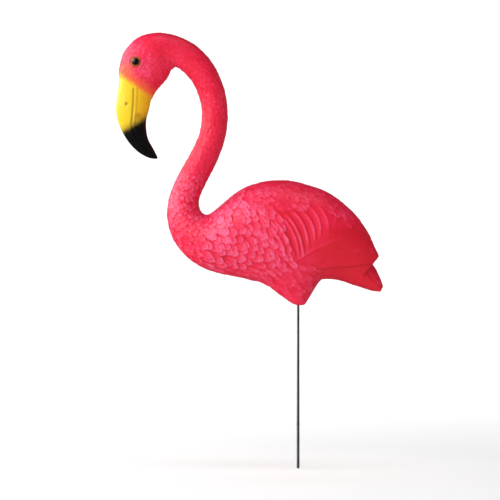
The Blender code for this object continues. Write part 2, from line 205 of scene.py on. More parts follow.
# The folded wing's lower edge, and the valley between the wings
WING_EDGE = np.array([(2.0, 12.4), (10.9, 13.9), (18.5, 14.2), (25.6, 14.9), (27.6, 16.8), (29.5, 18.0)])
WING_THICKNESS = 0.75
WING_FADE = 10.0
WING_STEP_FROM = -0.15
WING_STEP_TO = 0.25
VALLEY_FROM = -6
VALLEY_TO = 28
VALLEY_ABOVE = 17.5
VALLEY_FRONT_WIDTH = 1.5
VALLEY_REAR_WIDTH = 3.0
VALLEY_DEPTH = 2.4


def wing_form(points):
    """The step from the folded wing down to the flank and tail, and the valley between the two wings."""
    x, y, z = np.moveaxis(points, -1, 0)
    above = z - np.interp(x, WING_EDGE[:, 0], WING_EDGE[:, 1])
    fade = smooth(WING_EDGE[0, 0], WING_EDGE[0, 0] + WING_FADE, x)
    wing = WING_THICKNESS * fade * smooth(WING_STEP_FROM, WING_STEP_TO, above)
    behind = smooth(VALLEY_FROM, VALLEY_TO, x) * (z > VALLEY_ABOVE)
    width = VALLEY_FRONT_WIDTH + (VALLEY_REAR_WIDTH - VALLEY_FRONT_WIDTH) * behind
    return wing - VALLEY_DEPTH * behind * np.exp(-((y / width) ** 2))


# The fan of long tail feathers: how many, where the first and last tips are, and for the first and last
# feather its angle, length and width. Then comes how high they stand. They do so from the share FAN_FULL of
# their length.
TAIL_FAN = (3, ((30.6, 7.4), (28.0, 12.8)), (-28, -40), (11, 12), (3.4, 3.6), 0.20)
FAN_FULL = 0.5
FAN_DOME = 0.25

# Every feather's form: how broad its edge is, how far the skin may turn away under it, the share of its
# length over which its root comes in, how pointed its tip is, the groove round the tip, and the painted
# highlight along its rim. The groove and the painted rim highlight are whole on a feather that stands as high
# as FULL_LIFT. The search is in lengths.
FEATHER_EDGE = 0.38
FEATHER_TURN = 0.25
FEATHER_SEARCH = 1.5
ROOT_FADE = 0.45
TIP_POINT = 1.55
GROOVE_WIDTH = 0.24
GROOVE_DEPTH = 0.16
RIM_INSIDE = 0.45
RIM_WIDTH = 0.34
FULL_LIFT = 0.4

# The curved feathers of the wing, by the edges that show. Four of them are listed from the front to the rear:
# where each starts and ends seen from the side, how far it bows towards the rear and how high it stands.
SABRES = 11
SABRE_KEYS = np.array([
    (-12.6, 31.0, -3.6, 15.4, 1.9, 0.22),
    (-5.6, 36.0, 2.8, 19.0, 2.6, 0.32),
    (4.6, 38.2, 9.6, 26.4, 1.9, 0.17),
    (16.2, 37.4, 20.0, 30.4, 0.7, 0.07),
])
SABRE_JITTER = 0.5
SABRE_RAMP = 1.7

# The edges of the two layers below them, in the same terms, from the rear forwards
LAYER_EDGES = np.array([
    (22.6, 26.0, -1.6, 15.6, -1.5, 0.18),
    (28.6, 19.6, 13.0, 18.6, -0.6, 0.12),
])
LAYER_RAMP = 3.5

# How an edge drops behind, how deep the groove along it is as a share of its lift, how strong the painted
# highlight along its rim is beside a short feather's, how hollow its ramp is, and over which shares of its
# length it fades in and out
EDGE_DROP = 0.28
EDGE_GROOVE = 0.5
EDGE_RIM_HIGHLIGHT = 0.5
EDGE_HOLLOW = 1.4
EDGE_FADE_IN = 0.3
EDGE_FADE_OUT = (0.82, 1.05)


def edge_relief(points, edges, ramp):
    """Steps down behind the edges of feathers and grooves along their feet, as heights, and painted rim
    highlights.
    """
    side_view = points[..., [0, 2]]
    raised, pressed, rim_highlights = np.zeros((3, *points.shape[:2]))
    for x_start, z_start, x_end, z_end, bow, lift in edges:
        start = np.array([x_start, z_start])
        chord = np.array([x_end, z_end]) - start
        length = np.linalg.norm(chord)
        forward = chord / length
        away = side_view - start
        share = away @ forward / length
        behind = away @ np.array([-forward[1], forward[0]]) - 4 * bow * share * (1 - share)
        fading = smooth(0, EDGE_FADE_IN, share) * (1 - smooth(*EDGE_FADE_OUT, share))
        before = np.clip(1 + behind / ramp, 0, 1) ** EDGE_HOLLOW
        tooth = np.where(behind < 0, before, np.exp(-((behind / EDGE_DROP) ** 2)))
        raised = np.maximum(raised, lift * fading * tooth)
        groove = EDGE_GROOVE * lift * np.exp(-(((behind - 2 * EDGE_DROP) / EDGE_DROP) ** 2))
        pressed = np.maximum(pressed, groove * fading)
        # A band of painted highlight just inside the edge
        rim = np.exp(-(((behind + RIM_INSIDE) / RIM_WIDTH) ** 2))
        rim_highlights = np.maximum(rim_highlights, EDGE_RIM_HIGHLIGHT * lift / FULL_LIFT * fading * rim)
    return np.stack([raised - pressed, rim_highlights])


def wing_feathers(points, seed):
    """The curved feathers of the wing and the layers below them, as heights, and their painted rim
    highlights.
    """
    keys = np.linspace(0, 1, len(SABRE_KEYS))
    places = np.linspace(0, 1, SABRES)
    edges = np.stack([np.interp(places, keys, column) for column in SABRE_KEYS.T], axis=-1)
    edges[:, :5] += np.random.default_rng(seed).normal(0, SABRE_JITTER, (SABRES, 5))
    return edge_relief(points, edges, SABRE_RAMP) + edge_relief(points, LAYER_EDGES, LAYER_RAMP)


# Short feathers scattered in rows: their length and width, how much of each shows, how high they stand, how
# domed they are, and their angle seen from the side where it doesn't follow the body
RIGHT_SEED = 7
LEFT_SEED = 11
SHORT_FEATHERS = {
    "breast": (3.2, 2.1, 0.50, 0.26, 0.4, None),
    "shoulder": (5.8, 3.5, 0.42, 0.44, 0.45, None),
    "covert": (7.4, 2.5, 0.42, 0.36, 0.4, -56),
    "upper_back": (5.4, 2.3, 0.46, 0.20, 0.4, -26),
    "rear_back": (6.8, 2.6, 0.42, 0.19, 0.35, None),
    "belly": (6.4, 1.9, 0.46, 0.21, 0.4, -36),
}
SCALE_DROOP = 0.5

# How closely the rows and the feathers in a row follow each other, how far a feather strays as a share of its
# spacing, how much its lift and size vary as shares and its angle in degrees, and where they end on the neck
ROW_SPACING = 0.8
NEIGHBOUR_SPACING = 0.8
FEATHER_STRAYS = 0.14
LIFT_VARIES = 0.3
SIZE_VARIES = 0.1
ANGLE_VARIES = 8
FEATHERS_END = (40, 56)

# Where each kind grows, seen from the side. A slanted border is given by where it starts, its place there and
# its slope.
FEATHERS_TOP = 58
FEATHERS_FRONT = -50
NECK_BORDER = (-30, 39, 0.6)
BREAST_BORDER = (20, -33, 0.15)
BELLY_TOP = 13.5
BELLY_REAR = 9.5
REAR_BACK_BORDER = (6, 38.5, -0.8)
UPPER_BACK_FOOT = 34.5
UPPER_BACK_FRONT = -17
SHOULDER_BORDER = (17, -7.5, -0.34)
COVERT_BORDER = (17, -1.0, -0.34)


def border(line, at):
    """The place of a slanted border at a height or a distance along."""
    start, place, slope = line
    return place + slope * (at - start)


def feather_at(x, z):
    """Which short feathers grow at a place seen from the side, if any."""
    if z > FEATHERS_TOP or x < FEATHERS_FRONT:
        return None
    if z > border(NECK_BORDER, max(x, NECK_BORDER[0])) or x < border(BREAST_BORDER, z):
        return "breast"
    if z < BELLY_TOP and x < BELLY_REAR:
        return "belly"
    if x > REAR_BACK_BORDER[0] and z > border(REAR_BACK_BORDER, x):
        return "rear_back"
    if z > UPPER_BACK_FOOT and x < REAR_BACK_BORDER[0]:
        return "upper_back" if x > UPPER_BACK_FRONT else "shoulder"
    if x < border(SHOULDER_BORDER, z):
        return "shoulder"
    return "covert" if x < border(COVERT_BORDER, z) else None


def varied(share, luck):
    """1 give or take a share, by a chance from 0 to 1."""
    return 1 + share * (2 * luck - 1)


class Plumage:
    """Feathers laid one over another on the half skin, as heights above it."""

    def __init__(self, points):
        self.points = points
        self.out = outward_normals(points)
        self.heights = np.zeros(points.shape[:2])
        self.barbs = np.zeros((*points.shape[:2], 2))
        self.rim_highlights = np.zeros(points.shape[:2])
        middle = points[:, HALF_COLUMNS // 2]
        walk = np.linalg.norm(np.diff(middle, axis=0), axis=-1)
        self.travel = np.concatenate([[0], np.cumsum(walk)])
        steps = np.linalg.norm(np.diff(points, axis=1), axis=-1)
        self.girth = np.concatenate([np.zeros((len(points), 1)), np.cumsum(steps, axis=1)], axis=1)
        self.flow = np.gradient(points, axis=0)

    def lay(self, ring, column, aim, length, width, lift, full=1.0, dome=0.0):
        """One feather, whose round tip is at a ring and a column and points along aim.

        It rises from its root to its whole lift at the share full of its length, falls off towards its edges
        by dome, and has a groove pressed round its tip.
        """
        reach = FEATHER_SEARCH * max(length, width)
        first, last = np.searchsorted(self.travel, [self.travel[ring] - reach, self.travel[ring] + reach])
        near = slice(first, last + 1)
        away = self.points[near] - self.points[ring, column]
        up = self.out[ring, column]
        aim = aim - (aim @ up) * up
        aim = aim / np.linalg.norm(aim)
        ahead = away @ aim
        across = away @ np.cross(up, aim) / (width / 2)
        tip = width / 2
        beside = np.abs(across) ** TIP_POINT
        shape = ((np.maximum(ahead + tip, 0) / tip) ** TIP_POINT + beside) ** (1 / TIP_POINT)
        beyond = (shape - 1) * tip
        from_root = (ahead + length) / length
        facing = (self.out[near] @ up > FEATHER_TURN) * smooth(0, ROOT_FADE, from_root)
        rising = np.clip(from_root / full, 0, 1)
        groove = GROOVE_DEPTH * np.exp(-((beyond / GROOVE_WIDTH) ** 2)) * (beyond > 0)
        strength = facing * rising * min(lift / FULL_LIFT, 1)
        self.heights[near] -= groove * strength
        cover = np.clip(-beyond / FEATHER_EDGE, 0, 1) * facing
        crown = 1 - dome * np.minimum(shape, 1) ** 2
        self.heights[near] += cover * (lift * rising * crown - self.heights[near])
        over = cover > 0.5
        self.barbs[near][over] = np.stack([ahead, across * width / 2], axis=-1)[over]
        # A band of painted highlight just inside the edge round the tip
        rim = np.exp(-(((beyond + RIM_INSIDE) / RIM_WIDTH) ** 2)) * strength
        self.rim_highlights[near][over] = rim[over]

    def nearest(self, x, z):
        """The ring and column of the skin's point that shows at x, z from the side."""
        apart = np.hypot(self.points[..., 0] - x, self.points[..., 2] - z)
        return np.unravel_index(np.argmin(apart), apart.shape)

    def lay_fan(self, count, tips, aims, lengths, widths, lift):
        """A fan of long feathers, from its rearmost one forwards. Angles are seen from the side."""
        for f in np.linspace(0, 1, count):
            ring, column = self.nearest(*((1 - f) * np.array(tips[0]) + f * np.array(tips[1])))
            angle, length, width = ((1 - f) * a + f * b for a, b in (aims, lengths, widths))
            aim = np.array([math.cos(math.radians(angle)), 0, math.sin(math.radians(angle))])
            self.lay(ring, column, aim, length, width, lift, FAN_FULL, FAN_DOME)

    def short_feathers(self, seed):
        """Every short feather as (travel, ring, column, name, chance), in jittered rows of its own kind."""
        chance = np.random.default_rng(seed)
        found = []
        for name, (length, width, shown, *_) in SHORT_FEATHERS.items():
            for row, place in enumerate(np.arange(0, self.travel[-1], shown * length * ROW_SPACING)):
                middle_ring = int(np.searchsorted(self.travel, place))
                girth = self.girth[middle_ring][-1]
                count = max(1, round(girth / (NEIGHBOUR_SPACING * width)))
                for k in range(count):
                    wander = chance.normal(0, FEATHER_STRAYS, 2)
                    across = (k + 0.5 * (row % 2) + wander[0]) / count * girth
                    ring = int(np.searchsorted(self.travel, place + wander[1] * length))
                    ring = min(ring, RINGS - 1)
                    column = min(int(np.searchsorted(self.girth[ring], max(across, 0))), HALF_COLUMNS)
                    x, _, z = self.points[ring, column]
                    luck = chance.random()
                    if feather_at(x, z) == name:
                        found.append((self.travel[ring], ring, column, name, luck))
        return sorted(found, reverse=True)

    def lay_short_feathers(self, seed):
        """The rows of short feathers, from the rear forwards."""
        for _, ring, column, name, luck in self.short_feathers(seed):
            length, width, _, lift, dome, angle = SHORT_FEATHERS[name]
            point, flow = self.points[ring, column], self.flow[ring, column]
            if angle is None:
                share = self.girth[ring, column] / self.girth[ring, -1]
                aim = flow / np.linalg.norm(flow) - [0, 0, SCALE_DROOP * math.sin(math.pi * share)]
            else:
                turned = math.radians(angle + ANGLE_VARIES * (2 * luck - 1))
                aim = np.array([math.cos(turned), 0, math.sin(turned)])
            lift = lift * varied(LIFT_VARIES, luck) * (1 - smooth(*FEATHERS_END, point[2]))
            size = varied(SIZE_VARIES, luck)
            self.lay(ring, column, aim, size * length, size * width, lift, dome=dome)


# The face: the eye's dome in its lid, the nostril, the mouth line with the ridge and the gutter behind it,
# and small creases
EYE = (-59.4, 89.0)
EYE_RADIUS = 1.9
EYE_HEIGHT = 0.62
EYE_GROOVE_DEPTH = 0.18
EYE_GROOVE_WIDTH = 0.22
LID_RADIUS = 2.55
LID_HEIGHT = 0.26
LID_WIDTH = 0.45
NOSTRIL = (-62.8, 73.7)
NOSTRIL_RADIUS = 0.55
NOSTRIL_DEPTH = 0.5
MOUTH_LINE = [(-60.2, 79.1), (-60.3, 73.4), (-61.0, 66.0), (-59.0, 60.0), (-53.6, 55.2)]
MOUTH_WIDTH = 0.36
MOUTH_DEPTH = 0.34
RIDGE_AWAY = (0.75, 0.25)
RIDGE_WIDTH = 0.4
RIDGE_HEIGHT = 0.16
GUTTER_AWAY = (1.6, 0.5)
GUTTER_DEPTH = 0.10
BILL_LINE = ((-64.4, 83.3), (-55.0, 76.7))
TIP_LINE = ((-63.8, 63.0), (-56.1, 67.5))
FACE_STEP = 0.22
FACE_STEP_OVER = (-0.2, 0.5)
CREASES = [
    [(-56.9, 88.0), (-55.0, 86.6), (-52.6, 86.3)],
    [(-61.9, 91.2), (-62.4, 88.0), (-61.7, 85.2)],
]
CREASE_WIDTH = 0.4
CREASE_DEPTH = 0.2

# Over which places along, and over which heights, the neck gives way to the head
HEAD_REAR = (-40, -50)
HEAD_FOOT = (44, 50)


def line_distance(points, line):
    """How far each point of the side view is from a line of points."""
    nearest = np.full(points.shape[:-1], np.inf)
    for start, end in zip(np.array(line[:-1]), np.array(line[1:])):
        span = end - start
        f = np.clip((points - start) @ span / (span @ span), 0, 1)
        nearest = np.minimum(nearest, np.linalg.norm(points - start - f[..., None] * span, axis=-1))
    return nearest


def pressed_line(points, line, width, depth):
    """A soft line that is pressed in, as depths."""
    return depth * np.exp(-((line_distance(points, line) / width) ** 2))


def below_line(points, line):
    """How far each point of the side view is below a line through two points, negative above it."""
    start, end = np.array(line)
    along = (end - start) / np.linalg.norm(end - start)
    return (points - start) @ np.array([along[1], -along[0]])


def face_relief(points):
    """The eyes, nostrils, mouth line and creases, as heights above the skin."""
    side_view = points[..., [0, 2]]
    from_eye = np.linalg.norm(side_view - EYE, axis=-1)
    dome = EYE_HEIGHT * np.sqrt(np.clip(1 - (from_eye / EYE_RADIUS) ** 2, 0, 1))
    lid = LID_HEIGHT * np.exp(-(((from_eye - LID_RADIUS) / LID_WIDTH) ** 2))
    around_eye = -EYE_GROOVE_DEPTH * np.exp(-(((from_eye - EYE_RADIUS) / EYE_GROOVE_WIDTH) ** 2))
    from_nostril = np.linalg.norm(side_view - NOSTRIL, axis=-1) / NOSTRIL_RADIUS
    nostril = -NOSTRIL_DEPTH * np.exp(-(from_nostril**2))
    total = dome + lid + around_eye + nostril - pressed_line(side_view, MOUTH_LINE, MOUTH_WIDTH, MOUTH_DEPTH)
    ridge, gutter = (np.array(MOUTH_LINE) + away for away in (RIDGE_AWAY, GUTTER_AWAY))
    total += pressed_line(side_view, ridge, RIDGE_WIDTH, RIDGE_HEIGHT)
    total -= pressed_line(side_view, gutter, MOUTH_WIDTH, GUTTER_DEPTH)
    for crease in CREASES:
        total -= pressed_line(side_view, crease, CREASE_WIDTH, CREASE_DEPTH)
    on_bill = smooth(*FACE_STEP_OVER, below_line(side_view, BILL_LINE)) * in_front(points)
    return total - FACE_STEP * on_bill


def in_front(points):
    """1 on the head and bill, 0 on the neck and body."""
    return smooth(*HEAD_REAR, points[..., 0]) * smooth(*HEAD_FOOT, points[..., 2])


def whole_skin(right, left):
    """Numbers of the right and the left half of the skin, side by side round each ring."""
    return np.concatenate([right, left[:, -2:0:-1]], axis=1)


# The mould's parting line, a fine ridge along the back and the belly that runs out at the tail
SEAM_HEIGHT = 0.05
SEAM_ENDS = (29.0, 25.0)

# How strong the down is, over which heights it grows stronger, and where it ends at the bill's edge and round
# the eye. Then come over how many cells the relief is evened out for the finish, which paints raised parts
# paler as highlight and hollows redder as shade, and what the finish reads as far above a line.
DOWN_ON_BODY = 0.2
DOWN_ON_NECK = 0.85
DOWN_GROWS = (34, 50)
BILL_BARE = (-1.5, 0.3)
EYE_BARE = (3.4, 2.4)
EVEN_OVER = 4
FAR_ABOVE = -20


def feathered(points, seed):
    """A half's relief: its feathers' heights, where each point is on its feather, and their painted rim
    highlights.
    """
    plumage = Plumage(points)
    plumage.lay_fan(*TAIL_FAN)
    plumage.lay_short_feathers(seed)
    wing_heights, wing_rims = wing_feathers(points, seed)
    heights = (plumage.heights + wing_heights) * clear_of_foot(points)
    return heights, plumage.barbs, np.maximum(plumage.rim_highlights, wing_rims)


def clear_of_foot(points):
    """0 at the foot and 1 where the feathers have their whole height."""
    return smooth(FEATHERS_FROM, FEATHERS_FULL, points[..., 2])


def bird_mesh():
    """The bird's closed mesh, with what its finish reads stored on its points."""
    points = half_skin()
    points = points + wing_form(points)[..., None] * outward_normals(points)
    points = with_boss(points)
    out, face = outward_normals(points), face_relief(points)
    edges = points[:, [0, -1]]
    seam = SEAM_HEIGHT * clear_of_foot(edges) * (1 - in_front(edges)) * smooth(*SEAM_ENDS, edges[..., 0])
    reliefs, barbs, rim_highlights = zip(*(feathered(points, seed) for seed in (RIGHT_SEED, LEFT_SEED)))
    halves = []
    for relief in reliefs:
        heights = relief + face
        heights[:, [0, -1]] = reliefs[0][:, [0, -1]] + face[:, [0, -1]] + seam
        shaped = (points + heights[..., None] * out) * SHARE
        shaped[..., 2] += FOOT_HEIGHT
        shaped[:, [0, -1], 1] = 0
        halves.append(shaped)
    skin = whole_skin(halves[0], halves[1] * [1, -1, 1])
    vertices = np.concatenate([skin.reshape(-1, 3), [skin[0].mean(axis=0), skin[-1].mean(axis=0)]])
    columns = skin.shape[1]
    index = np.arange(RINGS * columns).reshape(RINGS, columns)
    following = np.roll(index, -1, axis=1)
    quads = np.stack([index[:-1], following[:-1], following[1:], index[1:]], axis=-1)
    bill_point, tail_point = RINGS * columns, RINGS * columns + 1
    faces = quads.reshape(-1, 4).tolist()
    faces += [(bill_point, int(b), int(a)) for a, b in zip(index[0], following[0])]
    faces += [(tail_point, int(a), int(b)) for a, b in zip(index[-1], following[-1])]
    mesh = bpy.data.meshes.new("flamingo_moulding")
    mesh.from_pydata(vertices.tolist(), [], faces)
    side_view = points[..., [0, 2]]
    head = in_front(points)
    # Relief less its local mean, for painted highlight on raised parts and painted shade in hollows
    store(mesh, "relief", *(relief - blurred(relief, EVEN_OVER) for relief in reliefs))
    store(mesh, "bill", np.where(head > 0.5, below_line(side_view, BILL_LINE), FAR_ABOVE))
    store(mesh, "tip", np.where(head > 0.5, below_line(side_view, TIP_LINE), FAR_ABOVE))
    store(mesh, "mouth", line_distance(side_view, MOUTH_LINE))
    store(mesh, "gutter", line_distance(side_view, np.array(MOUTH_LINE) + GUTTER_AWAY))
    on_bill = smooth(*BILL_BARE, below_line(side_view, BILL_LINE)) * head
    on_neck = smooth(*DOWN_GROWS, points[..., 2])
    near_eye = smooth(*EYE_BARE, np.linalg.norm(side_view - EYE, axis=-1))
    clear = (1 - on_bill) * (1 - near_eye) * clear_of_foot(points)
    store(mesh, "down", (DOWN_ON_BODY + (DOWN_ON_NECK - DOWN_ON_BODY) * on_neck) * clear)
    store(mesh, "barb_ahead", *(barb[..., 0] for barb in barbs))
    store(mesh, "barb_across", *(barb[..., 1] for barb in barbs))
    store(mesh, "rim", *rim_highlights)
    return mesh


def blurred(half, cells):
    """The half skin's numbers evened out over a few cells each way."""
    for axis in (0, 1):
        pad = [(cells, cells) if a == axis else (0, 0) for a in (0, 1)]
        total = np.cumsum(np.pad(half, pad, mode="edge"), axis=axis)
        total = np.insert(total, 0, 0, axis=axis)
        span = 2 * cells + 1
        size = total.shape[axis]
        half = (np.take(total, range(span, size), axis) - np.take(total, range(size - span), axis)) / span
    return half


def store(mesh, name, right, left=None):
    """Stores a number for each point of the skin, the same on both sides if left isn't given."""
    values = whole_skin(right, right if left is None else left)
    poles = [values[0].mean(), values[-1].mean()]
    made = mesh.attributes.new(name, "FLOAT", "POINT")
    made.data.foreach_set("value", np.concatenate([values.ravel(), poles]).astype(np.float32))


# The down: small round grains in the neck and the head and, more faintly, in the body. Each ends and is whole
# at these shares of a cell from its middle.
GRAIN_SIZE = 0.0026
GRAIN_HEIGHT = 0.00045
GRAIN_EDGE = (0.80, 0.10)


class Nodes:
    """Adds nodes to a tree, one call each, with their inputs by name or number."""

    def __init__(self, tree):
        self.tree = tree

    def add(self, kind, inputs=None, **settings):
        made = self.tree.nodes.new(kind)
        for name, value in settings.items():
            setattr(made, name, value)
        for name, value in (inputs or {}).items():
            socket = made.inputs[name]
            if isinstance(value, bpy.types.NodeSocket):
                self.tree.links.new(value, socket)
            else:
                socket.default_value = value
        return made

    def math(self, operation, first, second=0.0, third=0.0):
        return self.add("ShaderNodeMath", {0: first, 1: second, 2: third}, operation=operation).outputs[0]

    def ramp(self, value, low, high):
        """0 where value is low, 1 where it is high, and a smooth ramp between them."""
        inputs = {"Value": value, "From Min": low, "From Max": high}
        return self.add("ShaderNodeMapRange", inputs, interpolation_type="SMOOTHSTEP").outputs["Result"]

    def mix(self, share, first, second):
        """Two colours mixed by a share, 0 for all the first."""
        made = self.add("ShaderNodeMix", data_type="RGBA")
        for socket, value in zip([made.inputs[0], made.inputs[6], made.inputs[7]], [share, first, second]):
            if isinstance(value, bpy.types.NodeSocket):
                self.tree.links.new(value, socket)
            else:
                socket.default_value = value
        return made.outputs[2]


def add_input(tree, name, kind):
    """A named input of a node tree."""
    tree.interface.new_socket(name, in_out="INPUT", socket_type=kind)


def grains(nodes, place, size):
    """1 in the middle of each small round grain and 0 between them, by place."""
    cells = {"Vector": place, "Scale": nodes.math("DIVIDE", 1.0, size)}
    near = nodes.add("ShaderNodeTexVoronoi", cells).outputs["Distance"]
    return nodes.ramp(near, *GRAIN_EDGE)


def down_tree():
    """Presses the skin in between small grains that stand close together."""
    tree = bpy.data.node_groups.new("pressed_down", "GeometryNodeTree")
    add_input(tree, "Geometry", "NodeSocketGeometry")
    for name in ("Grain size", "Grain height"):
        add_input(tree, name, "NodeSocketFloat")
    add_input(tree, "Finish", "NodeSocketMaterial")
    tree.interface.new_socket("Geometry", in_out="OUTPUT", socket_type="NodeSocketGeometry")
    n = Nodes(tree)
    given = n.add("NodeGroupInput").outputs
    down = n.add("GeometryNodeInputNamedAttribute", {"Name": "down"}, data_type="FLOAT").outputs["Attribute"]
    place = n.add("GeometryNodeInputPosition").outputs[0]
    pressed = n.math("SUBTRACT", grains(n, place, given["Grain size"]), 1.0)
    height = n.math("MULTIPLY", n.math("MULTIPLY", pressed, down), given["Grain height"])
    normal = n.add("GeometryNodeInputNormal").outputs[0]
    offset = n.add("ShaderNodeVectorMath", {0: normal, 3: height}, operation="SCALE").outputs[0]
    moved = n.add("GeometryNodeSetPosition", {"Geometry": given["Geometry"], "Offset": offset}).outputs[0]
    whole = n.add("GeometryNodeRealizeInstances", {"Geometry": moved}).outputs[0]
    done = n.add("GeometryNodeSetMaterial", {"Geometry": whole, "Material": given["Finish"]}).outputs[0]
    n.add("NodeGroupOutput", {"Geometry": done})
    return tree


def set_input(modifier, name, value):
    """Sets a modifier's input by the identifier of the socket that has this name."""
    sockets = modifier.node_group.interface.items_tree
    identifier = next(s.identifier for s in sockets if s.name == name and s.in_out == "INPUT")
    modifier[identifier] = value


def finished_mesh(piece, name):
    """A plain mesh of the piece as its modifiers leave it."""
    bpy.context.view_layer.update()
    evaluated = piece.evaluated_get(bpy.context.evaluated_depsgraph_get())
    mesh = bpy.data.meshes.new_from_object(evaluated)
    mesh.name = name
    return mesh


# The pinks of the moulding and the paints on it, as linear colours. The paler pink is painted highlight and
# random pale patches, the deeper red painted shade and random deep patches.
PINK = (0.745, 0.010, 0.054, 1)
PINK_HIGHLIT_AND_PALE = (0.820, 0.130, 0.270, 1)
PINK_SHADED_AND_DEEP = (0.620, 0.002, 0.018, 1)
ORANGE_MIST = (0.780, 0.110, 0.018, 1)
BILL_YELLOW = (0.740, 0.500, 0.010, 1)
BILL_GOLD = (0.700, 0.370, 0.003, 1)
BILL_OLIVE = (0.330, 0.210, 0.008, 1)
BILL_BROWN = (0.420, 0.130, 0.004, 1)
TIP_BLACK = (0.003, 0.003, 0.003, 1)
EYE_RING = (0.270, 0.080, 0.014, 1)
EYE_LINE = (0.330, 0.020, 0.006, 1)
PUPIL_RADIUS = 0.0031
RING_RADIUS = 0.0042
LINE_RADIUS = 0.0062
EDGE_OF_PAINT = 0.00025
BROWN_PATCH_PLACE = (-58.6, 69.3)
LORE_PLACE = (-62.4, 86.6)
GOLD_BEFORE_EYE = 1.5

# The paints of the head and bill. Each follows a measure, and here is where on it the paint ends and is
# whole, and how much of what is under it the paint hides. The first seven of these measures are how far off a
# place is, in metres, and the others how far off a line is, in shares.
PAINTS = {
    "lore": (0.0085, 0.0015, 0.50),
    # The bill turns a deeper gold towards its rear side
    "gold": (-0.002, 0.011, 1.0),
    # A darker brown patch on the bill's rear side
    "brown patch": (0.0045, 0.0, 0.75),
    "nostril": (0.0022, 0.0008, 0.85),
    "eye line": (LINE_RADIUS, RING_RADIUS, 0.70),
    "eye ring": (RING_RADIUS + EDGE_OF_PAINT, RING_RADIUS - EDGE_OF_PAINT, 1.0),
    "pupil": (PUPIL_RADIUS + EDGE_OF_PAINT, PUPIL_RADIUS - EDGE_OF_PAINT, 1.0),
    "mist": (-5.0, -0.2, 1.0),
    "gutter": (0.60, 0.0, 0.30),
    "mouth": (0.62, 0.05, 0.80),
    "bill": (-1.7, 1.1, 1.0),
    "tip's edge": (-4.2, -0.6, 0.62),
    "tip": (-2.0, 0.6, 1.0),
}
SPRAY_STRAYS = 1.6
TIP_STRAYS = 1.3

# Where a painted sheen makes the moulding paler, on the shoulder, the brow, the cheek and the neck where the
# light from the left falls, and where painted shade makes the rear of the wing and the tail a deeper red: a
# place seen from the side, how far from it that ends and is whole, and how much each counts
PAINTED_SHEEN_PLACES = [
    ((-22.0, 28.0), 0.050, 0.016),
    ((-61.0, 90.0), 0.026, 0.008),
    ((-57.0, 84.0), 0.015, 0.004),
    ((-45.5, 42.0), 0.026, 0.006),
]
PAINTED_SHEEN = 0.10
PAINTED_SHADE_PLACE = ((21.0, 16.5), 0.046, 0.016)
PAINTED_SHADE = 0.18

# The patterns in the finish, with their scale and detail, and how much each part of it counts in how pale the
# pink is. The relief, the feather edges and the tops of the grains give painted highlight, the hollows and
# the gaps between grains painted shade, and the mottle and speckle random paler and deeper patches. Their sum
# makes it paler or deeper over these ranges.
MOTTLE = (55.0, 4.0)
SPECKLE = (420.0, 3.0)
SHEEN = (1500.0, 2.0)
HIGHLIGHT_AT_RIMS = 0.22
HIGHLIGHT_AND_SHADE_BY_RELIEF = 0.85
PALE_AT_ALL = -0.08
PALE_IN_MOTTLE = 0.32
PALE_IN_SPECKLE = 0.16
HIGHLIGHT_ON_GRAINS = 0.13
GRAIN_MIDDLE = 0.45
PALER = (-0.07, 0.34)
REDDER = (0.0, -0.26)

# How rough the satin plastic is and how much that varies, how much smoother the bill and the eyes are, and
# how high the barbs, the speckle and the grains stand in the fine bumps
ROUGHNESS = 0.40
ROUGHNESS_VARIES = 0.16
BILL_SMOOTHER = 0.10
BILL_SMOOTHER_OVER = (-0.6, 0.6)
EYE_SMOOTHER = 0.28
LEAST_ROUGHNESS = 0.06
BARB_SLANT = 0.35
BARBS = 22.0
BARBS_WHERE = (0.05, 0.2)
BARB_HEIGHT = 0.25
SPECKLE_HEIGHT = 1.6
GRAIN_BUMP = 1.2


